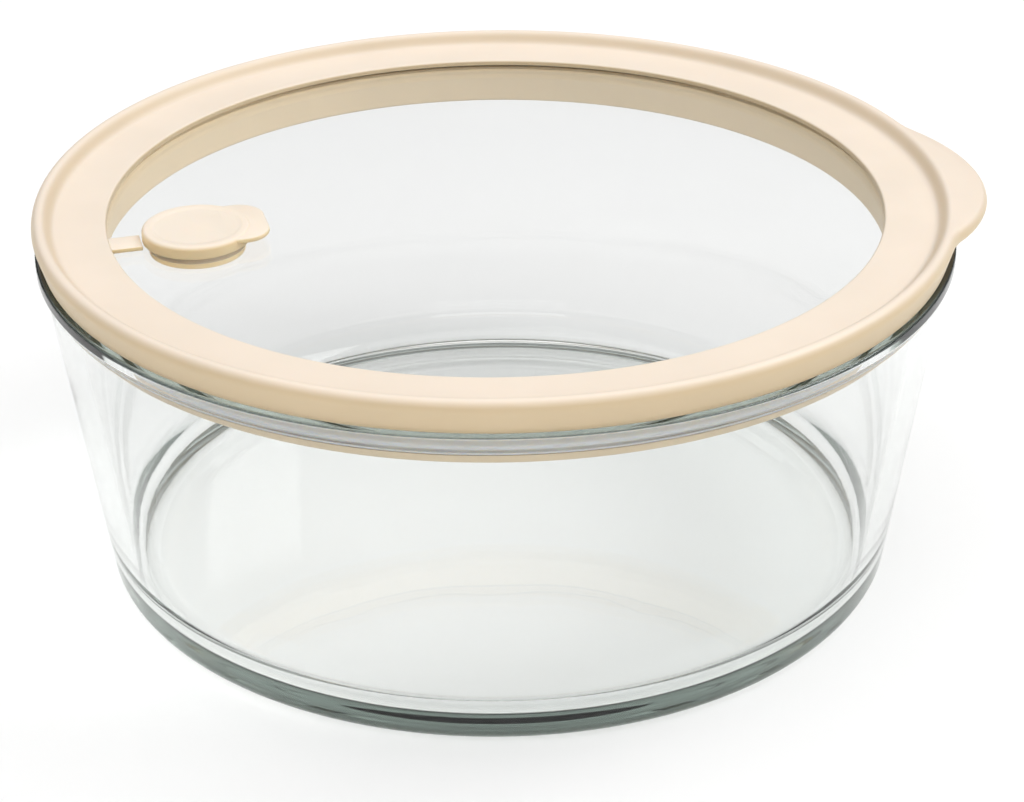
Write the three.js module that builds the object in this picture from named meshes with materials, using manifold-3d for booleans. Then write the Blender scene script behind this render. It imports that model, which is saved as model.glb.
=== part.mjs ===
// Round glass food container with a press-on lid. The lid is a cream moulded rim with a pull tab,
// a clear panel held up into it by a retainer ring, a silicone seal, and a steam vent that flips open.
// Millimetres, +Z up. The origin is the centre of the bowl's underside; the pull tab points along +X.

import * as THREE from "three";
import { mergeVertices } from "three/addons/utils/BufferGeometryUtils.js";
import Module from "manifold-3d";

const wasm = await Module();
wasm.setup();

// ---------------------------------------------------------------- driving dimensions
const TURN_SEGMENTS = 72; // facets round every large ring
const SMALL_SEGMENTS = 32; // facets round the vent pieces
const CURVE_STEPS = 3; // points per curve of a turned outline; an arc gets twice as many
const FIT_GAP = 0.3; // clearance between pieces that seat on each other

const bowl = {
  footRadius: 91.7, // where the outer wall would meet the table
  wallLean: THREE.MathUtils.degToRad(7.86),
  wallThickness: 4.6,
  floorThickness: 3.7,
  heelRadius: 3.7, // outer rounding between underside and wall
  innerHeelRadius: 10.0, // rounding between floor and wall inside
  rimRadius: 103.4,
  rimTop: 79.3,
  rimBandHeight: 2.6, // straight-sided band round the mouth
  rimEdgeRadius: 0.6,
  rimFlareHeight: 2.0, // how far below the band the wall starts to flare out to it
};

const lid = {
  seatHeight: bowl.rimTop + FIT_GAP, // the underside that sits on the glass rim
  skirtRadius: 102.2, // outer side at its lower edge
  beadRadius: 103.6, // widest place, high on the raised edge bead
  beadWidestHeight: 84.9,
  crestRadius: 101.8,
  crestHeight: 87.2,
  bandHeight: 84.4, // flat band between window and bead
  bandOuterRadius: 98.2,
  windowRadius: 87.2,
  collarOuterRadius: 94.0,
  collarBottom: 76.6,
  edgeChamfer: 0.4,
};

const panel = {
  radius: 89.8,
  thickness: 3.0,
  top: 82.9,
  edgeChamfer: 0.5,
};

const tab = {
  azimuth: THREE.MathUtils.degToRad(2),
  noseCentre: 64.8, // distance of the nose arc's centre from the bowl's axis
  noseRadius: 46.0,
  blendRadius: 15.0,
  top: 86.5,
  thickness: 2.3,
};

const retainer = {
  innerRadius: 88.4,
  flangeRadius: 95.8,
  flangeThickness: 2.2,
  bottom: 71.0,
};

const seal = {
  bodyHeight: 2.8,
  lipBottom: 74.0,
  lipThickness: 1.4,
  neckRadius: 92.0, // outer side below the lip, the bottom of the groove over the flange
  wallClearance: 0.4,
  bodyClearance: 0.5,
};

const vent = {
  azimuth: THREE.MathUtils.degToRad(195),
  centreDistance: 68.0,
  capRadius: 12.0,
  capTop: 86.1,
  capWall: 1.3,
  capCeiling: 1.4,
  capEdgeRadius: 0.9,
  lipReach: 15.6, // thumb lip, from the cap's centre
  lipWidth: 19.0,
  lipDrop: 0.2, // how far the lip's top lies below the cap's
  lipEndRadius: 6.0,
  plugRadius: 3.6,
  plugBottom: 81.0,
  plugChamfer: 0.5,
  boreRadius: 4.2,
  seatBodyRadius: 8.0,
  seatTopFlangeRadius: 10.2,
  seatTopFlangeHeight: 1.2,
  seatLowerFlangeRadius: 10.6,
  seatLowerFlangeHeight: 1.2,
  strapWidth: 6.4,
  strapThickness: 1.0,
  strapLift: 0.1, // clearance between strap and panel
  tailThickness: 0.6,
  tailEnd: 89.5, // how far the strap's tail reaches under the window lip
};

// ---------------------------------------------------------------- materials
function material(name, color, roughness, opacity = 1) {
  const transparent = opacity < 1;
  return new THREE.MeshStandardMaterial({ name, color, roughness, metalness: 0, transparent, opacity });
}

const clearGlass = material("clear_glass", 0xd9e6e1, 0.05, 0.35);
const panelGlass = material("panel_glass", 0xe6eeeb, 0.05, 0.35);
const creamLid = material("cream_polypropylene", 0xf8e8d6, 0.5);
const creamRetainer = material("cream_retainer", 0xd9c8ac, 0.5);
const creamSilicone = material("cream_silicone", 0xf3e2cd, 0.65);
const sealSilicone = material("seal_silicone", 0xdcccb2, 0.6);

// ---------------------------------------------------------------- helpers
// A closed outline in (radius, height), listed anticlockwise, turned about the Z axis.
function turned(outline, segments = TURN_SEGMENTS) {
  const points = outline.getPoints(CURVE_STEPS);
  return new THREE.LatheGeometry(points, segments).rotateX(Math.PI / 2);
}

function polygon(corners) {
  return new THREE.Shape(corners.map(([r, z]) => new THREE.Vector2(r, z)));
}

function closeOutline(path) {
  path.closePath();
  return path;
}

function solid(geometry) {
  const bare = new THREE.BufferGeometry();
  bare.setAttribute("position", geometry.getAttribute("position").clone());
  if (geometry.index) bare.setIndex(geometry.index.clone());
  const merged = mergeVertices(bare, 1e-4);
  const vertProperties = new Float32Array(merged.getAttribute("position").array);
  const triVerts = new Uint32Array(merged.index.array);
  return new wasm.Manifold(new wasm.Mesh({ numProp: 3, vertProperties, triVerts }));
}

function geometryOf(manifold) {
  const mesh = manifold.getMesh();
  const geometry = new THREE.BufferGeometry();
  geometry.setAttribute("position", new THREE.BufferAttribute(new Float32Array(mesh.vertProperties), 3));
  geometry.setIndex(new THREE.BufferAttribute(new Uint32Array(mesh.triVerts), 1));
  return geometry;
}

function named(name, geometry, meshMaterial) {
  const mesh = new THREE.Mesh(geometry, meshMaterial);
  mesh.name = name;
  return mesh;
}

// Inner face of the bowl's wall at a height.
function bowlInnerRadius(height) {
  const wallAcross = bowl.wallThickness / Math.cos(bowl.wallLean);
  return bowl.footRadius - wallAcross + height * Math.tan(bowl.wallLean);
}

function bowlOuterRadius(height) {
  return bowl.footRadius + height * Math.tan(bowl.wallLean);
}

// Centre radius of an arc that is tangent to the leaning wall and to a level face below it.
function heelCentre(wallRadiusAtCentre, arcRadius) {
  return wallRadiusAtCentre - arcRadius / Math.cos(bowl.wallLean);
}

// ---------------------------------------------------------------- bowl
function glassBowl() {
  const lean = bowl.wallLean;
  const down = -Math.PI / 2;
  const heelRadius = heelCentre(bowlOuterRadius(bowl.heelRadius), bowl.heelRadius);
  const innerHeight = bowl.floorThickness + bowl.innerHeelRadius;
  const innerRadius = heelCentre(bowlInnerRadius(innerHeight), bowl.innerHeelRadius);
  const edge = bowl.rimEdgeRadius;
  const bandBottom = bowl.rimTop - bowl.rimBandHeight;
  const neck = bandBottom - bowl.rimFlareHeight;
  const mouthRadius = bowlInnerRadius(bowl.rimTop - edge) + edge;

  const outline = new THREE.Path();
  outline.moveTo(0, 0);
  outline.lineTo(heelRadius, 0);
  outline.absarc(heelRadius, bowl.heelRadius, bowl.heelRadius, down, -lean, false);
  outline.lineTo(bowlOuterRadius(neck), neck);
  outline.quadraticCurveTo(bowl.rimRadius, bandBottom - edge / 2, bowl.rimRadius, bandBottom + edge / 2);
  outline.absarc(bowl.rimRadius - edge, bowl.rimTop - edge, edge, 0, Math.PI / 2, false);
  outline.absarc(mouthRadius, bowl.rimTop - edge, edge, Math.PI / 2, Math.PI - lean, false);
  outline.absarc(innerRadius, innerHeight, bowl.innerHeelRadius, -lean, down, true);
  outline.lineTo(0, bowl.floorThickness);
  return named("glass_bowl", turned(outline), clearGlass);
}

// ---------------------------------------------------------------- lid rim
function rimRing() {
  const lipBottom = panel.top + FIT_GAP;
  const pocketRadius = panel.radius + FIT_GAP;
  const edge = lid.edgeChamfer;
  const outline = new THREE.Path();
  outline.moveTo(lid.collarOuterRadius, lid.collarBottom);
  outline.lineTo(lid.collarOuterRadius, lid.seatHeight);
  outline.lineTo(lid.skirtRadius - edge, lid.seatHeight);
  outline.lineTo(lid.skirtRadius, lid.seatHeight + edge);
  outline.lineTo(lid.beadRadius, lid.beadWidestHeight);
  outline.quadraticCurveTo(lid.beadRadius, lid.crestHeight, lid.crestRadius, lid.crestHeight);
  const slopeMiddle = (lid.crestRadius + lid.bandOuterRadius) / 2;
  outline.bezierCurveTo(
    slopeMiddle, lid.crestHeight,
    slopeMiddle, lid.bandHeight,
    lid.bandOuterRadius, lid.bandHeight,
  );
  outline.lineTo(lid.windowRadius + edge, lid.bandHeight);
  outline.lineTo(lid.windowRadius, lid.bandHeight - edge);
  outline.lineTo(lid.windowRadius, lipBottom);
  outline.lineTo(pocketRadius, lipBottom);
  outline.lineTo(pocketRadius, lid.collarBottom);
  return solid(turned(closeOutline(outline)));
}

// Plan of the pull tab: a broad round nose that runs into the rim through a concave arc each side.
function tabPlan() {
  const rootRadius = lid.crestRadius - 0.2;
  const toBlend = lid.beadRadius + tab.blendRadius;
  const noseToBlend = tab.noseRadius + tab.blendRadius;
  const blendX = (toBlend ** 2 + tab.noseCentre ** 2 - noseToBlend ** 2) / (2 * tab.noseCentre);
  const blendY = Math.sqrt(toBlend ** 2 - blendX ** 2);
  const rootAngle = Math.atan2(blendY, blendX);
  const noseAngle = Math.atan2(blendY, blendX - tab.noseCentre);
  const turn = Math.PI;

  const plan = new THREE.Shape();
  plan.absarc(0, 0, rootRadius, rootAngle, -rootAngle, true);
  plan.absarc(blendX, -blendY, tab.blendRadius, turn - rootAngle, turn - noseAngle, true);
  plan.absarc(tab.noseCentre, 0, tab.noseRadius, -noseAngle, noseAngle, false);
  plan.absarc(blendX, blendY, tab.blendRadius, turn + noseAngle, turn + rootAngle, true);
  return plan;
}

function pullTab() {
  const slab = new THREE.ExtrudeGeometry(tabPlan(), {
    depth: tab.thickness,
    bevelEnabled: false,
    curveSegments: 10,
  });
  slab.rotateZ(tab.azimuth);
  slab.translate(0, 0, tab.top - tab.thickness);
  return solid(slab);
}

// The hollow under the window lip that takes the strap's tail.
function tailPocket() {
  const startRadius = lid.windowRadius - 2;
  const length = vent.tailEnd + FIT_GAP - startRadius;
  const height = vent.tailThickness + FIT_GAP;
  const pocket = new THREE.BoxGeometry(length, vent.strapWidth + 2 * FIT_GAP, height);
  pocket.translate(startRadius + length / 2, 0, panel.top + height / 2);
  pocket.rotateZ(vent.azimuth);
  return solid(pocket);
}

function lidRim() {
  const body = rimRing().add(pullTab()).subtract(tailPocket());
  return named("lid_rim", geometryOf(body), creamLid);
}

// ---------------------------------------------------------------- clear panel, retainer and seal
function lidPanel() {
  const edge = panel.edgeChamfer;
  const outer = panel.radius;
  const bottom = panel.top - panel.thickness;
  const disc = new THREE.Path([
    new THREE.Vector2(0, bottom),
    new THREE.Vector2(outer - edge, bottom),
    new THREE.Vector2(outer, bottom + edge),
    new THREE.Vector2(outer, panel.top - edge),
    new THREE.Vector2(outer - edge, panel.top),
    new THREE.Vector2(0, panel.top),
  ]);
  const holeRadius = vent.seatBodyRadius + FIT_GAP;
  const hole = new THREE.CylinderGeometry(holeRadius, holeRadius, 2 * panel.thickness, SMALL_SEGMENTS);
  hole.rotateX(Math.PI / 2);
  hole.rotateZ(vent.azimuth);
  hole.translate(...ventCentre(panel.top - panel.thickness / 2));
  return named("lid_panel", geometryOf(solid(turned(disc)).subtract(solid(hole))), panelGlass);
}

function panelRetainer() {
  const top = panel.top - panel.thickness - FIT_GAP;
  const flangeTop = retainer.bottom + retainer.flangeThickness;
  const section = polygon([
    [retainer.innerRadius, retainer.bottom],
    [retainer.flangeRadius, retainer.bottom],
    [retainer.flangeRadius, flangeTop],
    [panel.radius, flangeTop],
    [panel.radius, top],
    [retainer.innerRadius, top],
  ]);
  return named("panel_retainer", turned(closeOutline(section)), creamRetainer);
}

function sealGasket() {
  const bodyBottom = retainer.bottom + retainer.flangeThickness + FIT_GAP;
  const bodyTop = bodyBottom + seal.bodyHeight;
  const bodyInner = panel.radius + seal.bodyClearance;
  const bodyOuter = lid.collarOuterRadius;
  const lipTop = seal.lipBottom + seal.lipThickness;
  const section = polygon([
    [bodyInner, bodyBottom],
    [seal.neckRadius, bodyBottom],
    [seal.neckRadius, seal.lipBottom],
    [bowlInnerRadius(seal.lipBottom) - seal.wallClearance, seal.lipBottom],
    [bowlInnerRadius(lipTop) - seal.wallClearance, lipTop],
    [bodyOuter, bodyTop],
    [bodyInner, bodyTop],
  ]);
  return named("seal_gasket", turned(closeOutline(section)), sealSilicone);
}

// ---------------------------------------------------------------- steam vent
function ventCentre(height) {
  const x = vent.centreDistance * Math.cos(vent.azimuth);
  const y = vent.centreDistance * Math.sin(vent.azimuth);
  return [x, y, height];
}

// Silicone grommet through the panel: a flange above, a flange below and the steam bore.
function ventSeat() {
  const glassTop = panel.top + FIT_GAP;
  const glassBottom = panel.top - panel.thickness - FIT_GAP;
  const top = glassTop + vent.seatTopFlangeHeight;
  const bottom = glassBottom - vent.seatLowerFlangeHeight;
  const section = polygon([
    [vent.boreRadius, bottom],
    [vent.seatLowerFlangeRadius, bottom],
    [vent.seatLowerFlangeRadius, glassBottom],
    [vent.seatBodyRadius, glassBottom],
    [vent.seatBodyRadius, glassTop],
    [vent.seatTopFlangeRadius, glassTop],
    [vent.seatTopFlangeRadius, top],
    [vent.boreRadius, top],
  ]);
  const mesh = named("vent_seat", turned(closeOutline(section), SMALL_SEGMENTS), creamSilicone);
  mesh.position.set(...ventCentre(0));
  return mesh;
}

// Round cap with a plug under its middle, turned about the vent's own axis.
function capBody() {
  const bottom = panel.top + FIT_GAP;
  const ceiling = vent.capTop - vent.capCeiling;
  const inner = vent.capRadius - vent.capWall;
  const edge = vent.capEdgeRadius;
  const outline = new THREE.Path();
  outline.moveTo(0, vent.plugBottom);
  outline.lineTo(vent.plugRadius - vent.plugChamfer, vent.plugBottom);
  outline.lineTo(vent.plugRadius, vent.plugBottom + vent.plugChamfer);
  outline.lineTo(vent.plugRadius, ceiling);
  outline.lineTo(inner, ceiling);
  outline.lineTo(inner, bottom);
  outline.lineTo(vent.capRadius, bottom);
  outline.absarc(vent.capRadius - edge, vent.capTop - edge, edge, 0, Math.PI / 2, false);
  outline.lineTo(0, vent.capTop);
  return solid(turned(outline, SMALL_SEGMENTS));
}

// Thumb lip on the side that faces the bowl's axis; local +X points away from the axis.
function capLip() {
  const halfWidth = vent.lipWidth / 2;
  const end = vent.lipEndRadius;
  const endCentre = end - vent.lipReach;
  const root = -Math.sqrt((vent.capRadius - vent.capEdgeRadius) ** 2 - halfWidth ** 2);
  const plan = new THREE.Shape();
  plan.moveTo(root, -halfWidth);
  plan.lineTo(root, halfWidth);
  plan.absarc(endCentre, halfWidth - end, end, Math.PI / 2, Math.PI, false);
  plan.absarc(endCentre, end - halfWidth, end, Math.PI, Math.PI * 1.5, false);
  const lip = new THREE.ExtrudeGeometry(plan, {
    depth: vent.capCeiling - vent.lipDrop,
    bevelEnabled: false,
    curveSegments: 4,
  });
  lip.translate(0, 0, vent.capTop - vent.capCeiling);
  return solid(lip);
}

function ventCap() {
  const mesh = named("vent_cap", geometryOf(capBody().add(capLip())), creamSilicone);
  mesh.position.set(...ventCentre(0));
  mesh.rotation.z = vent.azimuth;
  return mesh;
}

// Flat strap from the cap's hinge line out to the rim, with a thinner tail under the window lip.
function ventStrap() {
  const hingeRadius = vent.centreDistance + vent.capRadius + FIT_GAP;
  const shoulder = lid.windowRadius - FIT_GAP;
  const bottom = panel.top + vent.strapLift;
  const side = polygon([
    [hingeRadius, bottom],
    [vent.tailEnd, bottom],
    [vent.tailEnd, bottom + vent.tailThickness],
    [shoulder, bottom + vent.tailThickness],
    [shoulder, bottom + vent.strapThickness],
    [hingeRadius, bottom + vent.strapThickness],
  ]);
  const strap = new THREE.ExtrudeGeometry(side, { depth: vent.strapWidth, bevelEnabled: false });
  strap.translate(0, 0, -vent.strapWidth / 2);
  strap.rotateX(Math.PI / 2);
  const mesh = named("vent_strap", strap, creamSilicone);
  mesh.rotation.z = vent.azimuth;
  return mesh;
}

// ---------------------------------------------------------------- assembly
const ventGroup = new THREE.Group();
ventGroup.add(ventSeat(), ventStrap(), ventCap());

const lidGroup = new THREE.Group();
lidGroup.add(lidRim(), lidPanel(), panelRetainer(), sealGasket(), ventGroup);

const container = new THREE.Group();
container.add(glassBowl(), lidGroup);

export default container;
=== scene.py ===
import math

import bpy
from bpy.props import FloatProperty, FloatVectorProperty, IntProperty, PointerProperty
from mathutils import Matrix, Vector


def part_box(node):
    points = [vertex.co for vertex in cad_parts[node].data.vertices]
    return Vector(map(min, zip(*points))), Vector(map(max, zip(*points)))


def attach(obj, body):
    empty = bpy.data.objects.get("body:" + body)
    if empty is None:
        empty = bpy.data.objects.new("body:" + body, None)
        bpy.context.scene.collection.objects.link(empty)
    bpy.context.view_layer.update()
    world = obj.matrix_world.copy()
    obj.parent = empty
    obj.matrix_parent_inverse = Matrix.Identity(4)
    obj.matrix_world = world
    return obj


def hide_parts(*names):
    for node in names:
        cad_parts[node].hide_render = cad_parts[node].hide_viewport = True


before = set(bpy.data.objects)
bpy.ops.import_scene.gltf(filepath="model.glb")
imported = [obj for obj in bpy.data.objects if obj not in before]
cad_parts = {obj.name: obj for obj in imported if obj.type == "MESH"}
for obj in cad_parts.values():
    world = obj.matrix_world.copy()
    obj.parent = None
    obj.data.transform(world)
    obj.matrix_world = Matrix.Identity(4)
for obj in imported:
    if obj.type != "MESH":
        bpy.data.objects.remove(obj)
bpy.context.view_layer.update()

bl_info = {
    "name": "Glass Food Container",
    "version": (1, 0, 0),
    "blender": (4, 5, 0),
    "location": "View3D > Sidebar > Container",
    "description": "Builds a round glass food container with a cream lid, clear panel and steam vent",
    "category": "Add Mesh",
}

MM = 0.001


# ---------------------------------------------------------------- sizes read from the frame

def node_size(node):
    low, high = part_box(node)
    return high - low


def half_depth(node):
    """Radius of a round node, read along Y, where no tab sticks out."""
    return node_size(node).y / 2


BOWL_LOW, BOWL_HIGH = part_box("glass_bowl")
RIM_LOW, RIM_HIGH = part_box("lid_rim")
PANEL_LOW, PANEL_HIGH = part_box("lid_panel")
RETAINER_LOW, RETAINER_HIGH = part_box("panel_retainer")
SEAL_LOW, SEAL_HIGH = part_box("seal_gasket")
SEAT_LOW, SEAT_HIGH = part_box("vent_seat")
CAP_LOW, CAP_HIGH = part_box("vent_cap")
STRAP_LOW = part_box("vent_strap")[0]
VENT_CENTRE = (SEAT_LOW + SEAT_HIGH) / 2
VENT_AZIMUTH = math.atan2(VENT_CENTRE.y, VENT_CENTRE.x)
VENT_DISTANCE = math.hypot(VENT_CENTRE.x, VENT_CENTRE.y)


def linear(code):
    """Linear colour of an sRGB hex code such as F8E8D6."""
    parts = [int(code[i:i + 2], 16) / 255 for i in (0, 2, 4)]
    return [p / 12.92 if p <= 0.04045 else ((p + 0.055) / 1.055) ** 2.4 for p in parts]


def length(name, description, millimetres):
    return FloatProperty(name=name, description=description, default=millimetres * MM, unit="LENGTH")


def colour(name, description, code):
    return FloatVectorProperty(
        name=name, description=description, default=linear(code), size=3, subtype="COLOR",
    )


# ---------------------------------------------------------------- properties

class ContainerBowl(bpy.types.PropertyGroup):
    """Sizes of the pressed glass bowl"""

    foot_radius: length("Foot radius", "Where the outer wall would meet the table", 91.7)
    wall_lean: FloatProperty(
        name="Wall lean", description="Angle of the wall from upright",
        default=math.radians(7.86), subtype="ANGLE",
    )
    wall: length("Wall", "Thickness of the wall", 4.6)
    floor: length("Floor", "Thickness of the floor", 3.7)
    heel: length("Heel radius", "Outer rounding between underside and wall", 3.7)
    inner_heel: length("Inner heel radius", "Rounding between floor and wall inside", 10.0)
    band: length("Rim band", "Height of the straight band round the mouth", 2.6)
    flare: length("Rim flare", "How far below the band the wall starts to flare", 2.0)
    edge: length("Rim edge radius", "Rounding of the mouth's edges", 0.6)
    ring_width: length("Standing ring", "Flat width of the underside inside the heel", 12)
    hollow: length("Hollow", "How far the middle of the underside stands clear of the table", 0.4)
    hollow_ramp: length("Hollow ramp", "Width over which the underside rises to its hollow", 10)


class ContainerLid(bpy.types.PropertyGroup):
    """Sizes of the moulded lid"""

    skirt_radius: length("Skirt radius", "Outer side at its lower edge", 102.2)
    widest: length("Widest height", "Height of the bead's widest place", 84.9)
    crest_radius: length("Crest radius", "Radius of the bead's crest", 101.8)
    band_height: length("Band height", "Height of the flat band", 84.4)
    band_radius: length("Band radius", "Outer edge of the flat band", 98.2)
    window_radius: length("Window radius", "Edge of the opening in the rim", 87.2)
    collar_radius: length("Collar radius", "Outer side of the collar inside the bowl", 94.0)
    edge: length("Edge radius", "Rounding of the rim's edges", 0.5)
    gap: length("Gap", "Clearance between pieces that seat on each other", 0.3)
    tab_azimuth: FloatProperty(
        name="Tab direction", description="Direction of the pull tab from +X",
        default=math.radians(2), subtype="ANGLE",
    )
    nose_centre: length("Nose centre", "Distance of the tab's nose arc centre from the axis", 64.8)
    nose_radius: length("Nose radius", "Radius of the tab's nose arc", 46.0)
    blend_radius: length("Blend radius", "Concave arc between tab and rim", 15.0)
    tab_under: length("Tab underside", "Height of the tab's underside", 84.2)
    tab_droop: length("Tab droop", "How far the tab's nose lies below the crest", 0.5)


class ContainerInner(bpy.types.PropertyGroup):
    """Sizes of the retainer ring and the seal"""

    retainer_radius: length("Retainer radius", "Inner side of the retainer ring", 88.4)
    flange: length("Flange", "Thickness of the retainer's flange", 2.2)
    lip_bottom: length("Seal lip height", "Height of the underside of the seal's lip", 74.0)
    lip: length("Seal lip", "Thickness of the seal's lip", 1.4)
    neck_radius: length("Seal neck radius", "Outer side of the seal below its lip", 92.0)


class ContainerVent(bpy.types.PropertyGroup):
    """Sizes of the steam vent"""

    cap_radius: length("Cap radius", "Radius of the round cap", 12.0)
    cap_wall: length("Cap wall", "Thickness of the cap's side", 1.3)
    ceiling: length("Cap top", "Thickness of the cap's top", 1.4)
    edge: length("Cap edge", "Rounding of the cap's top edge", 0.9)
    dish: length("Cap dish", "Depth of the dished middle of the cap", 0.25)
    dish_radius: length("Dish radius", "Radius of the dished middle", 9.2)
    lip_reach: length("Lip reach", "Reach of the thumb lip from the cap's centre", 15.6)
    lip_width: length("Lip width", "Width of the thumb lip", 19.0)
    lip_corner: length("Lip corner radius", "Rounding of the lip's corners", 6.0)
    plug_radius: length("Plug radius", "Radius of the plug under the cap", 3.6)
    bore_radius: length("Bore radius", "Radius of the steam bore", 4.2)
    seat_body: length("Seat body", "Radius of the seat in the panel's hole", 8.0)
    seat_top: length("Seat top flange", "Radius of the seat's upper flange", 10.2)
    seat_low: length("Seat lower flange", "Radius of the seat's lower flange", 10.6)
    strap_width: length("Strap width", "Width of the strap", 6.4)
    strap_thickness: length("Strap thickness", "Thickness of the strap", 1.0)
    tail_thickness: length("Tail thickness", "Thickness of the tail under the lip", 0.6)
    tail_end: length("Tail end", "Reach of the tail from the bowl's axis", 89.5)


class ContainerFinish(bpy.types.PropertyGroup):
    """Colours of the pieces"""

    glass: colour("Glass", "Colour that long paths through the glass turn to", "82A092")
    panel: colour("Panel", "Tint of the clear panel", "A8B4AE")
    lid: colour("Lid", "Cream polypropylene of the rim", "EEDFCE")
    # Painted shade: a deeper cream for the rim's upright faces, which stands for the shade they lie in.
    lid_painted_shade: colour("Lid side", "Deeper cream of the rim's upright faces", "DCC6A2")
    # Painted shade: the same cream as the lid, a tone deeper for the shade under the lid.
    retainer: colour("Retainer", "Cream polypropylene below the panel", "F0DAB6")
    seal: colour("Seal", "Milky silicone of the seal", "FCFAF2")
    vent: colour("Vent", "Cream silicone of the vent", "F2E3D2")
    # Painted shade: a deeper cream for the vent's upright faces, which stands for the shade they lie in.
    vent_painted_shade: colour("Vent side", "Deeper cream of the vent's upright faces", "F8DFB4")
    floor: colour("Floor", "Pale studio floor", "FAFAFA")


class ContainerStage(bpy.types.PropertyGroup):
    """Camera and studio"""

    camera_side: length("Camera sideways", "Camera position along X", 4.0)
    camera_back: length("Camera back", "Distance of the camera in front of the axis", 539.7)
    camera_up: length("Camera height", "Height of the camera above the table", 320.5)
    pitch: FloatProperty(name="Pitch", description="Angle the camera looks down",
                         default=0.4904, subtype="ANGLE")
    yaw: FloatProperty(name="Yaw", description="Turn of the camera to the left",
                       default=0.0012, subtype="ANGLE")
    roll: FloatProperty(name="Roll", description="Tilt of the camera about its own axis",
                        default=-0.0084, subtype="ANGLE")
    lens: FloatProperty(name="Lens", description="Focal length on a 36 mm sensor, in millimetres",
                        default=91.4)
    steps: IntProperty(name="Turn steps", description="Faces round each turned piece", default=224)


# ---------------------------------------------------------------- outlines

def arc(centre_r, centre_z, radius, start, end, steps):
    """Points of an arc in (radius, height), angles in radians from +r."""
    angles = [start + (end - start) * i / steps for i in range(steps + 1)]
    return [(centre_r + radius * math.cos(a), centre_z + radius * math.sin(a)) for a in angles]


def curve(p0, p1, p2, p3, steps):
    """Points of a cubic curve."""
    points = []
    for i in range(steps + 1):
        t = i / steps
        weights = ((1 - t) ** 3, 3 * t * (1 - t) ** 2, 3 * t * t * (1 - t), t ** 3)
        points.append(tuple(sum(w * p[k] for w, p in zip(weights, (p0, p1, p2, p3))) for k in (0, 1)))
    return points


def joined(*stretches):
    """One outline from several stretches, without doubled points."""
    outline = []
    for point in (p for stretch in stretches for p in stretch):
        if not outline or math.dist(outline[-1], point) > 1e-6:
            outline.append(point)
    if math.dist(outline[0], outline[-1]) < 1e-6:
        outline.pop()
    return outline


def held(outline, closed):
    """Adds a point near both ends of each long straight stretch, which keeps its shading flat up
    to the rounding beside it."""
    hold = 0.25 * MM
    after = outline[1:] + (outline[:1] if closed else [])
    points = []
    for a, b in zip(outline, after):
        points.append(a)
        long = math.dist(a, b)
        if long < 6 * hold:
            continue
        for share in (hold / long, 1 - hold / long):
            point = (a[0] + (b[0] - a[0]) * share, a[1] + (b[1] - a[1]) * share)
            if point[0] > 4 * hold:
                points.append(point)
    return points if closed else points + outline[-1:]


# ---------------------------------------------------------------- modelling steps

def deselect_all():
    if bpy.context.mode != "OBJECT":
        bpy.ops.object.mode_set(mode="OBJECT")
    bpy.ops.object.select_all(action="DESELECT")


def make_active(piece):
    deselect_all()
    piece.select_set(True)
    bpy.context.view_layer.objects.active = piece


def settle(piece):
    """Puts the piece's place into its mesh."""
    make_active(piece)
    bpy.ops.object.transform_apply(location=True, rotation=True, scale=True)


def turned(name, outline, steps, closed=True):
    """Draws a (radius, height) outline by extruding one vertex, and spins it about the Z axis."""
    deselect_all()
    outline = held(outline, closed)
    first = outline[0]
    bpy.ops.mesh.primitive_plane_add(size=MM, location=(0, 0, 0), enter_editmode=True)
    bpy.ops.mesh.merge(type="CENTER")
    bpy.ops.transform.translate(value=(first[0], 0, first[1]))
    for before, after in zip(outline, outline[1:]):
        step = (after[0] - before[0], 0, after[1] - before[1])
        bpy.ops.mesh.extrude_vertices_move(TRANSFORM_OT_translate={"value": step})
    if closed:
        last = (outline[0][0] - outline[-1][0], 0, outline[0][1] - outline[-1][1])
        bpy.ops.mesh.extrude_vertices_move(TRANSFORM_OT_translate={"value": last})
    bpy.ops.mesh.select_all(action="SELECT")
    bpy.ops.mesh.spin(steps=steps, angle=2 * math.pi, center=(0, 0, 0), axis=(0, 0, 1))
    bpy.ops.mesh.select_all(action="SELECT")
    bpy.ops.mesh.remove_doubles(threshold=0.01 * MM)
    bpy.ops.mesh.normals_make_consistent(inside=False)
    bpy.ops.object.mode_set(mode="OBJECT")
    piece = bpy.context.object
    piece.name = name
    settle(piece)
    return piece


def turned_to_place(name, outline, steps, centre, closed=True):
    """A turned piece whose axis stands at centre."""
    piece = turned(name, outline, steps, closed)
    piece.location = (centre.x, centre.y, 0)
    settle(piece)
    return piece


def smooth(piece, degrees=35):
    make_active(piece)
    bpy.ops.object.shade_smooth_by_angle(angle=math.radians(degrees))


def apply_modifier(piece, kind, **settings):
    make_active(piece)
    modifier = piece.modifiers.new(kind.title(), kind)
    for key, value in settings.items():
        setattr(modifier, key, value)
    bpy.ops.object.modifier_apply(modifier=modifier.name)


def combine(piece, other, operation):
    """Joins another piece to this one or cuts it away, and removes the other piece."""
    apply_modifier(piece, "BOOLEAN", object=other, operation=operation, solver="EXACT")
    bpy.data.objects.remove(other, do_unlink=True)


def finish_piece(piece, body, node, material, degrees=35):
    """Shading, finish and place in the frame of a finished piece."""
    smooth(piece, degrees)
    piece.data.materials.clear()
    piece.data.materials.append(material)
    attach(piece, body)
    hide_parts(node)


# ---------------------------------------------------------------- materials

def add(tree, kind, inputs=None, links=None, **settings):
    """A node with its settings, input values and links."""
    node = tree.nodes.new(kind)
    for key, value in settings.items():
        setattr(node, key, value)
    for key, value in (inputs or {}).items():
        node.inputs[key].default_value = value
    for key, source in (links or {}).items():
        tree.links.new(source, node.inputs[key])
    return node


def new_material(name):
    material = bpy.data.materials.new(name)
    material.use_nodes = True
    material.node_tree.nodes.clear()
    return material, material.node_tree


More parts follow.
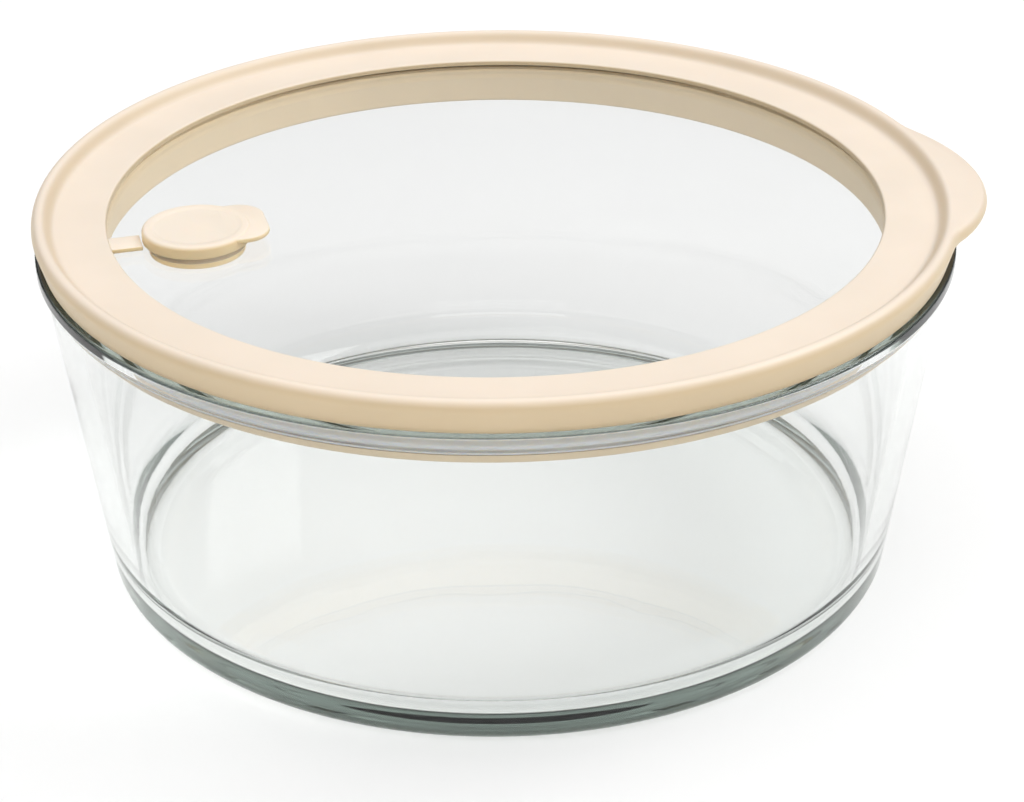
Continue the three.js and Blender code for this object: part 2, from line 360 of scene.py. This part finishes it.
def clear_body(name, tint, per_metre, ripple_size, ripple_depth, shade):
    """Clear glass: bright, sharp reflections, a tint that only long paths through it show, and
    the faint waviness of a surface that was formed hot."""
    material, tree = new_material(name)
    place = add(tree, "ShaderNodeTexCoord")
    ripple = add(
        tree, "ShaderNodeTexNoise",
        inputs={"Scale": 1 / ripple_size, "Detail": 1.0, "Roughness": 0.4},
        links={"Vector": place.outputs["Object"]},
    )
    surface = add(
        tree, "ShaderNodeBump",
        inputs={"Strength": 1.0, "Distance": ripple_depth},
        links={"Height": ripple.outputs["Fac"]},
    )
    glass = add(
        tree, "ShaderNodeBsdfPrincipled",
        inputs={
            "Base Color": (1, 1, 1, 1), "Roughness": 0.0, "IOR": 1.52,
            "Transmission Weight": 1.0,
        },
        links={"Normal": surface.outputs["Normal"]},
    )
    lit_through = add(tree, "ShaderNodeBsdfTransparent", inputs={"Color": (*shade, 1)})
    ray = add(tree, "ShaderNodeLightPath")
    both = add(
        tree, "ShaderNodeMixShader",
        links={0: ray.outputs["Is Shadow Ray"], 1: glass.outputs[0], 2: lit_through.outputs[0]},
    )
    body = add(
        tree, "ShaderNodeVolumeAbsorption",
        inputs={"Color": (*tint, 1), "Density": per_metre},
    )
    add(
        tree, "ShaderNodeOutputMaterial",
        links={"Surface": both.outputs[0], "Volume": body.outputs[0]},
    )
    return material


def pressed_glass(finish):
    """Soda-lime glass, pressed in a mould and fire polished: clear, greenish along its edges."""
    return clear_body("pressed_soda_lime_glass", finish.glass, 10, 24 * MM, 0.05 * MM, (0.87, 0.88, 0.875))


def tempered_panel(finish):
    """Flat tempered glass: the same glass, thinner and flatter."""
    return clear_body("tempered_panel_glass", finish.panel, 6, 60 * MM, 0.01 * MM, (0.99, 0.99, 0.99))


def moulded(name, tone, upright_painted_shade, roughness, grain, grain_depth, glow, glow_depth=2 * MM):
    """Moulded polymer: one tone with a slight cloudiness, a painted shade that deepens the tone on
    upright faces, a fine grain from the mould's surface, and light that carries a way in."""
    material, tree = new_material(name)
    place = add(tree, "ShaderNodeTexCoord")
    # Painted shade: faces that turn away from up take the deeper tone, which stands for the shade they lie
    # in.
    surface_turn = add(tree, "ShaderNodeNewGeometry")
    turn = add(tree, "ShaderNodeSeparateXYZ", links={"Vector": surface_turn.outputs["Normal"]})
    upright_shade_mask = add(
        tree, "ShaderNodeMapRange", inputs={"From Min": 0.25, "From Max": 0.95},
        links={"Value": turn.outputs["Z"]},
    )
    tones = add(
        tree, "ShaderNodeMixRGB",
        inputs={"Color1": (*upright_painted_shade, 1), "Color2": (*tone, 1)},
        links={"Fac": upright_shade_mask.outputs["Result"]},
    )
    cloud = add(
        tree, "ShaderNodeTexNoise",
        inputs={"Scale": 1 / (18 * MM), "Detail": 2.0},
        links={"Vector": place.outputs["Object"]},
    )
    shades = add(tree, "ShaderNodeValToRGB", links={"Fac": cloud.outputs["Fac"]})
    shades.color_ramp.elements[0].position = 0.3
    shades.color_ramp.elements[0].color = (0.965, 0.965, 0.96, 1)
    shades.color_ramp.elements[1].position = 0.7
    shades.color_ramp.elements[1].color = (1, 1, 1, 1)
    body = add(
        tree, "ShaderNodeMixRGB", inputs={"Fac": 1.0},
        links={"Color1": tones.outputs["Color"], "Color2": shades.outputs["Color"]},
        blend_type="MULTIPLY",
    )
    grains = add(
        tree, "ShaderNodeTexNoise",
        inputs={"Scale": 1 / grain, "Detail": 3.0},
        links={"Vector": place.outputs["Object"]},
    )
    surface = add(
        tree, "ShaderNodeBump",
        inputs={"Strength": 0.6, "Distance": grain_depth},
        links={"Height": grains.outputs["Fac"]},
    )
    dull = add(
        tree, "ShaderNodeMapRange",
        inputs={"To Min": roughness - 0.05, "To Max": roughness + 0.05},
        links={"Value": cloud.outputs["Fac"]},
    )
    polymer = add(
        tree, "ShaderNodeBsdfPrincipled",
        inputs={
            "IOR": 1.49, "Subsurface Weight": glow, "Subsurface Scale": glow_depth,
            "Subsurface Radius": (1.0, 0.75, 0.5),
        },
        links={
            "Base Color": body.outputs["Color"],
            "Roughness": dull.outputs["Result"],
            "Normal": surface.outputs["Normal"],
        },
    )
    add(tree, "ShaderNodeOutputMaterial", links={"Surface": polymer.outputs[0]})
    return material


def cream_polypropylene(finish):
    """Polypropylene from a finely etched mould: a soft satin sheen with no sharp highlight, and a painted
    shade on its upright faces.
    """
    return moulded(
        "cream_polypropylene", finish.lid, finish.lid_painted_shade, 0.38, 0.5 * MM, 0.012 * MM, 0.15,
    )


def retainer_polypropylene(finish):
    """The same plastic, set a tone deeper to stand for the shade under the lid."""
    return moulded(
        "retainer_polypropylene", finish.retainer, finish.retainer, 0.45, 0.5 * MM, 0.012 * MM, 0.1,
    )


def matt_silicone(finish):
    """Cast silicone rubber: matt, slightly see-through at thin edges, with a painted shade on its upright
    faces.
    """
    return moulded(
        "cream_silicone", finish.vent, finish.vent_painted_shade, 0.45, 0.4 * MM, 0.015 * MM, 0.3,
    )


def seal_silicone(finish):
    """Silicone rubber of the seal: milky and matt."""
    return moulded(
        "seal_silicone", finish.seal, finish.seal, 0.5, 0.4 * MM, 0.015 * MM, 1.0, 8 * MM,
    )


def studio_floor(finish):
    """White sweep paper: matt, with a barely visible tooth."""
    material, tree = new_material("studio_paper")
    place = add(tree, "ShaderNodeTexCoord")
    tooth = add(
        tree, "ShaderNodeTexNoise",
        inputs={"Scale": 1 / (1.5 * MM), "Detail": 2.0},
        links={"Vector": place.outputs["Object"]},
    )
    surface = add(
        tree, "ShaderNodeBump",
        inputs={"Strength": 0.1, "Distance": 0.05 * MM},
        links={"Height": tooth.outputs["Fac"]},
    )
    paper = add(
        tree, "ShaderNodeBsdfPrincipled",
        inputs={"Base Color": (*finish.floor, 1), "Roughness": 0.9, "Specular IOR Level": 0.1},
        links={"Normal": surface.outputs["Normal"]},
    )
    add(tree, "ShaderNodeOutputMaterial", links={"Surface": paper.outputs[0]})
    return material


# ---------------------------------------------------------------- pieces

class CONTAINER_OT_bowl(bpy.types.Operator):
    """Turns the glass bowl: leaning wall, rounded heel, thicker mouth and a slightly hollow base"""

    bl_idname = "container.bowl"
    bl_label = "Glass Bowl"

    def execute(self, context):
        s = context.scene.container_bowl
        slope = math.tan(s.wall_lean)
        lean_length = math.cos(s.wall_lean)
        top = BOWL_HIGH.z
        rim_radius = half_depth("glass_bowl")

        def outer(z):
            return s.foot_radius + z * slope

        def inner(z):
            return outer(z) - s.wall / lean_length

        down = -math.pi / 2
        band_bottom = top - s.band
        neck = band_bottom - s.flare
        heel = arc(outer(s.heel) - s.heel / lean_length, s.heel, s.heel, down, -s.wall_lean, 10)
        mouth_z = top - s.edge
        flare = curve(
            (outer(neck), neck),
            (outer(neck + s.flare / 2), neck + s.flare / 2),
            (rim_radius, band_bottom - s.edge / 2),
            (rim_radius, band_bottom + s.edge / 2), 6,
        )
        outer_edge = arc(rim_radius - s.edge, mouth_z, s.edge, 0, math.pi / 2, 6)
        inner_edge = arc(
            inner(mouth_z) + s.edge, mouth_z, s.edge, math.pi / 2, math.pi - s.wall_lean, 6,
        )
        fillet_z = s.floor + s.inner_heel
        fillet_r = inner(fillet_z) - s.inner_heel / lean_length
        fillet = arc(fillet_r, fillet_z, s.inner_heel, -s.wall_lean, down, 16)
        ring = outer(s.heel) - s.ring_width
        base = [(0, s.hollow), *curve(
            (ring - s.hollow_ramp, s.hollow), (ring - 0.6 * s.hollow_ramp, s.hollow),
            (ring - 0.4 * s.hollow_ramp, 0), (ring, 0), 8,
        )]
        outline = joined(base, heel, flare, outer_edge, inner_edge, fillet, [(0, s.floor)])
        bowl = turned("pressed_glass_bowl", outline, context.scene.container_stage.steps, closed=False)
        finish = context.scene.container_finish
        finish_piece(bowl, "bowl", "glass_bowl", pressed_glass(finish))
        return {"FINISHED"}


def tab_reach(s, bead, angle):
    """Radius of the lid's plan outline at an angle from the tab's middle: nose arc, concave blend
    arc, then the round rim."""
    to_blend = bead + s.blend_radius
    nose_to_blend = s.nose_radius + s.blend_radius
    blend_x = (to_blend ** 2 + s.nose_centre ** 2 - nose_to_blend ** 2) / (2 * s.nose_centre)
    blend_y = math.sqrt(to_blend ** 2 - blend_x ** 2)
    root_angle = math.atan2(blend_y, blend_x)
    share = s.nose_radius / nose_to_blend
    touch = (s.nose_centre + (blend_x - s.nose_centre) * share, blend_y * share)
    nose_angle = math.atan2(touch[1], touch[0])
    angle = abs(angle)
    if angle >= root_angle:
        return bead
    if angle >= nose_angle:
        across = to_blend * math.sin(root_angle - angle)
        along = to_blend * math.cos(root_angle - angle)
        return along - math.sqrt(max(0.0, s.blend_radius ** 2 - across ** 2))
    across = s.nose_centre * math.sin(angle)
    return s.nose_centre * math.cos(angle) + math.sqrt(s.nose_radius ** 2 - across ** 2)


def draw_out_tab(lid, s, bead):
    """Draws the bead's outer roll out to the pull tab's outline, down to the tab's underside."""
    ease = 0.25 * (bead - s.crest_radius)
    furthest = s.nose_centre + s.nose_radius - bead
    for vertex in lid.data.vertices:
        radius = math.hypot(vertex.co.x, vertex.co.y)
        if radius <= s.crest_radius or vertex.co.z < s.tab_under:
            continue
        angle = math.atan2(vertex.co.y, vertex.co.x)
        reach = tab_reach(s, bead, angle - s.tab_azimuth) - bead
        if reach <= 0:
            continue
        share = min(1.0, (radius - s.crest_radius) / ease)
        longer = (radius + reach * share) / radius
        vertex.co.x *= longer
        vertex.co.y *= longer
        above = (vertex.co.z - s.tab_under) / (RIM_HIGH.z - s.tab_under)
        vertex.co.z -= s.tab_droop * share * reach / furthest * above


class CONTAINER_OT_lid_rim(bpy.types.Operator):
    """Turns the lid's rim, draws its bead out to the pull tab and cuts the pocket for the strap"""

    bl_idname = "container.lid_rim"
    bl_label = "Lid Rim"

    def execute(self, context):
        s = context.scene.container_lid
        v = context.scene.container_vent
        bead = half_depth("lid_rim")
        crest = RIM_HIGH.z
        seat = BOWL_HIGH.z + s.gap
        lip_bottom = PANEL_HIGH.z + s.gap
        pocket = half_depth("lid_panel") + s.gap
        roll = curve(
            (bead, s.widest), (bead, s.widest + 0.6 * (crest - s.widest)),
            (s.crest_radius + 0.6 * (bead - s.crest_radius), crest), (s.crest_radius, crest), 12,
        )
        middle = (s.crest_radius + s.band_radius) / 2
        slope = curve(
            (s.crest_radius, crest), (middle, crest),
            (middle, s.band_height), (s.band_radius, s.band_height), 14,
        )
        lower_edge = arc(s.skirt_radius - s.edge, seat + s.edge, s.edge, -math.pi / 2, 0, 5)
        window_edge = arc(
            s.window_radius + s.edge, s.band_height - s.edge, s.edge, math.pi / 2, math.pi, 5,
        )
        side = [
            side_point(s, seat, bead, s.tab_under - 0.1 * MM),
            side_point(s, seat, bead, s.tab_under + 0.1 * MM),
        ]
        outline = joined(
            [(s.collar_radius, RIM_LOW.z), (s.collar_radius, seat)],
            lower_edge, side, roll, slope, window_edge,
            [(s.window_radius, lip_bottom), (pocket, lip_bottom), (pocket, RIM_LOW.z)],
        )
        lid = turned("lid_rim_with_tab", outline, context.scene.container_stage.steps)
        draw_out_tab(lid, s, bead)
        start = s.window_radius - 2 * MM
        reach = v.tail_end + s.gap - start
        height = v.tail_thickness + s.gap
        cut = slab("tail_pocket", reach, v.strap_width + 2 * s.gap, height)
        place_on_vent_line(cut, start + reach / 2, PANEL_HIGH.z + height / 2)
        combine(lid, cut, "DIFFERENCE")
        finish = context.scene.container_finish
        finish_piece(lid, "lid", "lid_rim", cream_polypropylene(finish))
        return {"FINISHED"}


def side_point(s, seat, bead, height):
    """Point of the lid's leaning outer side at a height."""
    share = (height - seat - s.edge) / (s.widest - seat - s.edge)
    return (s.skirt_radius + (bead - s.skirt_radius) * share, height)


def slab(name, along, across, thick):
    """A block at the origin, longest along X."""
    deselect_all()
    bpy.ops.mesh.primitive_cube_add(size=1, location=(0, 0, 0))
    block = bpy.context.object
    block.name = name
    block.scale = (along, across, thick)
    settle(block)
    return block


def place_on_vent_line(piece, distance, height):
    """Turns a piece to the vent's azimuth and moves it out to a distance from the bowl's axis."""
    piece.rotation_euler = (0, 0, VENT_AZIMUTH)
    piece.location = (distance * math.cos(VENT_AZIMUTH), distance * math.sin(VENT_AZIMUTH), height)
    settle(piece)


class CONTAINER_OT_lid_panel(bpy.types.Operator):
    """Turns the clear panel and drills the hole for the vent's seat"""

    bl_idname = "container.lid_panel"
    bl_label = "Lid Panel"

    def execute(self, context):
        s = context.scene.container_lid
        radius = half_depth("lid_panel")
        low, high = PANEL_LOW.z, PANEL_HIGH.z
        edge = s.edge
        outline = joined(
            [(0, low)], arc(radius - edge, low + edge, edge, -math.pi / 2, 0, 4),
            arc(radius - edge, high - edge, edge, 0, math.pi / 2, 4), [(0, high)],
        )
        panel = turned("clear_lid_panel", outline, context.scene.container_stage.steps, closed=False)
        deselect_all()
        bpy.ops.mesh.primitive_cylinder_add(
            vertices=96, radius=context.scene.container_vent.seat_body + s.gap, depth=4 * (high - low),
            location=(VENT_CENTRE.x, VENT_CENTRE.y, (low + high) / 2),
        )
        drill = bpy.context.object
        settle(drill)
        combine(panel, drill, "DIFFERENCE")
        finish = context.scene.container_finish
        finish_piece(panel, "lid", "lid_panel", tempered_panel(finish))
        return {"FINISHED"}


class CONTAINER_OT_inner_rings(bpy.types.Operator):
    """Turns the ring that holds the panel up and the silicone seal round it"""

    bl_idname = "container.inner_rings"
    bl_label = "Retainer and Seal"

    def execute(self, context):
        s = context.scene.container_inner
        lid = context.scene.container_lid
        finish = context.scene.container_finish
        steps = context.scene.container_stage.steps
        flange_radius = half_depth("panel_retainer")
        bottom, top = RETAINER_LOW.z, RETAINER_HIGH.z
        wall = half_depth("lid_panel")
        flange_top = bottom + s.flange
        edge = lid.edge
        section = joined(
            arc(s.retainer_radius + edge, bottom + edge, edge, math.pi, 1.5 * math.pi, 4),
            arc(flange_radius - edge, bottom + edge, edge, -math.pi / 2, 0, 4),
            [(flange_radius, flange_top), (wall, flange_top), (wall, top), (s.retainer_radius, top)],
        )
        ring = turned("panel_retainer_ring", section, steps)
        finish_piece(ring, "lid", "panel_retainer", retainer_polypropylene(finish))

        body_inner = wall + lid.edge
        outer = half_depth("seal_gasket")
        soft = 0.4 * MM
        lip_top = s.lip_bottom + s.lip
        section = joined(
            [(body_inner, SEAL_LOW.z), (s.neck_radius, SEAL_LOW.z), (s.neck_radius, s.lip_bottom)],
            arc(outer - 2 * soft, s.lip_bottom + soft, soft, -math.pi / 2, 0, 5),
            arc(outer - soft, lip_top - soft, soft, 0, math.pi / 2, 5),
            [(lid.collar_radius, SEAL_HIGH.z), (body_inner, SEAL_HIGH.z)],
        )
        seal = turned("silicone_seal", section, steps)
        finish_piece(seal, "lid", "seal_gasket", seal_silicone(finish))
        return {"FINISHED"}


class CONTAINER_OT_vent_seat(bpy.types.Operator):
    """Turns the silicone seat that lines the vent's hole in the panel"""

    bl_idname = "container.vent_seat"
    bl_label = "Vent Seat"

    def execute(self, context):
        v = context.scene.container_vent
        gap = context.scene.container_lid.gap
        over = PANEL_HIGH.z + gap
        under = PANEL_LOW.z - gap
        edge = 0.3 * MM
        section = joined(
            [(v.bore_radius, SEAT_LOW.z)],
            arc(v.seat_low - edge, SEAT_LOW.z + edge, edge, -math.pi / 2, 0, 3),
            [(v.seat_low, under), (v.seat_body, under), (v.seat_body, over), (v.seat_top, over)],
            arc(v.seat_top - edge, SEAT_HIGH.z - edge, edge, 0, math.pi / 2, 3),
            [(v.bore_radius, SEAT_HIGH.z)],
        )
        seat = turned_to_place("vent_seat_grommet", section, 96, VENT_CENTRE)
        finish = context.scene.container_finish
        finish_piece(seat, "lid", "vent_seat", matt_silicone(finish))
        return {"FINISHED"}


class CONTAINER_OT_vent_cap(bpy.types.Operator):
    """Turns the vent's cap with its plug and dished top, and joins the thumb lip to it"""

    bl_idname = "container.vent_cap"
    bl_label = "Vent Cap"

    def execute(self, context):
        v = context.scene.container_vent
        top = CAP_HIGH.z
        bottom = PANEL_HIGH.z + context.scene.container_lid.gap
        ceiling = top - v.ceiling
        inner = v.cap_radius - v.cap_wall
        edge = 0.3 * MM
        outline = joined(
            [(0, CAP_LOW.z)],
            arc(v.plug_radius - edge, CAP_LOW.z + edge, edge, -math.pi / 2, 0, 3),
            [(v.plug_radius, ceiling), (inner, ceiling), (inner, bottom)],
            arc(v.cap_radius - edge, bottom + edge, edge, -math.pi / 2, 0, 3),
            arc(v.cap_radius - v.edge, top - v.edge, v.edge, 0, math.pi / 2, 8),
            curve(
                (v.dish_radius + 1.2 * MM, top), (v.dish_radius + 0.5 * MM, top),
                (v.dish_radius + 0.5 * MM, top - v.dish), (v.dish_radius - 0.4 * MM, top - v.dish), 6,
            ),
            [(0, top - v.dish)],
        )
        cap = turned_to_place("vent_cap_with_lip", outline, 96, VENT_CENTRE, closed=False)
        root = math.sqrt((v.cap_radius - v.edge) ** 2 - (v.lip_width / 2) ** 2)
        reach = v.lip_reach - root
        thick = v.ceiling - 0.2 * MM
        lip = slab("thumb_lip", reach, v.lip_width, thick)
        round_lip(lip, v.lip_corner)
        place_on_vent_line(lip, VENT_DISTANCE - root - reach / 2, ceiling + thick / 2)
        combine(cap, lip, "UNION")
        finish = context.scene.container_finish
        finish_piece(cap, "vent_flap", "vent_cap", matt_silicone(finish))
        return {"FINISHED"}


def round_lip(lip, corner):
    """Rounds the lip's two outer corners in plan, then its edges all round."""
    make_active(lip)
    bpy.ops.object.mode_set(mode="EDIT")
    bpy.ops.mesh.select_mode(type="EDGE")
    bpy.ops.mesh.select_all(action="DESELECT")
    bpy.ops.object.mode_set(mode="OBJECT")
    for edge in lip.data.edges:
        a, b = (lip.data.vertices[i].co for i in edge.vertices)
        upright = abs(a.z - b.z) > 0.5 * MM and abs(a.x - b.x) < 0.01 * MM and abs(a.y - b.y) < 0.01 * MM
        edge.select = upright and a.x < 0
    bpy.ops.object.mode_set(mode="EDIT")
    bpy.ops.mesh.bevel(offset=corner, segments=12, profile=0.5)
    bpy.ops.object.mode_set(mode="OBJECT")
    apply_modifier(lip, "BEVEL", width=0.4 * MM, segments=3, limit_method="ANGLE")


class CONTAINER_OT_vent_strap(bpy.types.Operator):
    """Shapes the flat strap from the cap's hinge line to its tail under the window's lip"""

    bl_idname = "container.vent_strap"
    bl_label = "Vent Strap"

    def execute(self, context):
        v = context.scene.container_vent
        s = context.scene.container_lid
        start = VENT_DISTANCE + v.cap_radius + s.gap
        shoulder = s.window_radius - s.gap
        bottom = STRAP_LOW.z
        long = shoulder - start
        strap = slab("vent_cap_strap", long, v.strap_width, v.strap_thickness)
        place_along = start + long / 2
        make_active(strap)
        bpy.ops.object.mode_set(mode="EDIT")
        bpy.ops.mesh.select_all(action="DESELECT")
        bpy.ops.object.mode_set(mode="OBJECT")
        for face in strap.data.polygons:
            face.select = face.normal.x > 0.9
        bpy.ops.object.mode_set(mode="EDIT")
        bpy.ops.mesh.extrude_region_move(TRANSFORM_OT_translate={"value": (v.tail_end - shoulder, 0, 0)})
        bpy.ops.transform.resize(
            value=(1, 1, v.tail_thickness / v.strap_thickness),
            center_override=(long / 2, 0, -v.strap_thickness / 2),
        )
        bpy.ops.object.mode_set(mode="OBJECT")
        apply_modifier(strap, "BEVEL", width=0.2 * MM, segments=3, limit_method="ANGLE")
        place_on_vent_line(strap, place_along, bottom + v.strap_thickness / 2)
        finish = context.scene.container_finish
        finish_piece(strap, "lid", "vent_strap", matt_silicone(finish))
        return {"FINISHED"}


# ---------------------------------------------------------------- stage

def softbox(name, place, target, width, height, watts, mirrored=True):
    """A rectangular studio light that faces a point, and may be kept out of mirror images."""
    deselect_all()
    bpy.ops.object.light_add(type="AREA", location=place)
    lamp = bpy.context.object
    lamp.name = name
    lamp.rotation_euler = (Vector(target) - Vector(place)).to_track_quat("-Z", "Y").to_euler()
    lamp.data.shape = "RECTANGLE"
    lamp.data.size = width
    lamp.data.size_y = height
    lamp.data.energy = watts
    lamp.visible_glossy = mirrored


class CONTAINER_OT_stage(bpy.types.Operator):
    """Sets the pale floor, the studio lights, the surroundings and the camera"""

    bl_idname = "container.stage"
    bl_label = "Stage"

    def execute(self, context):
        s = context.scene.container_stage
        finish = context.scene.container_finish
        scene = context.scene
        deselect_all()
        bpy.ops.mesh.primitive_plane_add(size=6, location=(0, 0, BOWL_LOW.z - 0.3 * MM))
        floor = bpy.context.object
        floor.name = "studio_floor"
        floor.data.materials.append(studio_floor(finish))

        softbox("key_light", (1.3, 0.2, 1.5), (0, 0, 0.06), 1.1, 1.1, 13)
        softbox("top_light", (-0.2, -0.1, 1.9), (0, 0, 0), 1.8, 1.8, 8.6)

        softbox("low_fill", (0, -1.1, 0.4), (0, 0, 0.06), 0.9, 0.3, 1.9, mirrored=False)

        world = bpy.data.worlds.new("studio_surroundings")
        world.use_nodes = True
        tree = world.node_tree
        tree.nodes.clear()
        look = add(tree, "ShaderNodeTexCoord")
        parts = add(tree, "ShaderNodeSeparateXYZ", links={"Vector": look.outputs["Generated"]})
        tones = add(tree, "ShaderNodeValToRGB", links={"Fac": parts.outputs["Z"]})
        tones.color_ramp.elements[0].position = 0.1
        tones.color_ramp.elements[0].color = (0.05, 0.05, 0.05, 1)
        tones.color_ramp.elements[1].position = 0.65
        tones.color_ramp.elements[1].color = (1, 1, 1, 1)
        sky = add(
            tree, "ShaderNodeBackground", inputs={"Strength": 0.85},
            links={"Color": tones.outputs["Color"]},
        )
        add(tree, "ShaderNodeOutputWorld", links={"Surface": sky.outputs[0]})
        scene.world = world

        aim = (
            Matrix.Rotation(s.yaw, 3, "Z")
            @ Matrix.Rotation(math.pi / 2 - s.pitch, 3, "X")
            @ Matrix.Rotation(s.roll, 3, "Z")
        )
        deselect_all()
        bpy.ops.object.camera_add(
            location=(s.camera_side, -s.camera_back, s.camera_up), rotation=aim.to_euler(),
        )
        camera = bpy.context.object
        camera.data.sensor_width = 36
        camera.data.lens = s.lens
        camera.data.dof.use_dof = False
        scene.camera = camera
        scene.view_settings.view_transform = "Standard"
        scene.cycles.max_bounces = 40
        scene.cycles.transmission_bounces = 40
        # Light crosses the bowl's floor by many reflections, and this limit sets how dark the base is.
        scene.cycles.glossy_bounces = 22
        scene.cycles.transparent_max_bounces = 24
        return {"FINISHED"}


class CONTAINER_PT_sidebar(bpy.types.Panel):
    """Lists the steps that build the container"""

    bl_label = "Glass Food Container"
    bl_idname = "CONTAINER_PT_sidebar"
    bl_space_type = "VIEW_3D"
    bl_region_type = "UI"
    bl_category = "Container"

    def draw(self, context):
        column = self.layout.column()
        for step in STEPS:
            column.operator(step.bl_idname)
        for group in GROUPS:
            settings = getattr(context.scene, group)
            for key in settings.__annotations__:
                column.prop(settings, key)


GROUPS = {
    "container_bowl": ContainerBowl,
    "container_lid": ContainerLid,
    "container_inner": ContainerInner,
    "container_vent": ContainerVent,
    "container_finish": ContainerFinish,
    "container_stage": ContainerStage,
}
STEPS = (
    CONTAINER_OT_bowl,
    CONTAINER_OT_lid_rim,
    CONTAINER_OT_lid_panel,
    CONTAINER_OT_inner_rings,
    CONTAINER_OT_vent_seat,
    CONTAINER_OT_vent_cap,
    CONTAINER_OT_vent_strap,
    CONTAINER_OT_stage,
)
CLASSES = (*GROUPS.values(), *STEPS, CONTAINER_PT_sidebar)


def register():
    for each in CLASSES:
        bpy.utils.register_class(each)
    for name, group in GROUPS.items():
        setattr(bpy.types.Scene, name, PointerProperty(type=group))


def unregister():
    for name in GROUPS:
        delattr(bpy.types.Scene, name)
    for each in reversed(CLASSES):
        bpy.utils.unregister_class(each)


def main():
    register()
    bpy.ops.container.bowl()
    bpy.ops.container.lid_rim()
    bpy.ops.container.lid_panel()
    bpy.ops.container.inner_rings()
    bpy.ops.container.vent_seat()
    bpy.ops.container.vent_cap()
    bpy.ops.container.vent_strap()
    bpy.ops.container.stage()


if __name__ == "__main__":
    main()
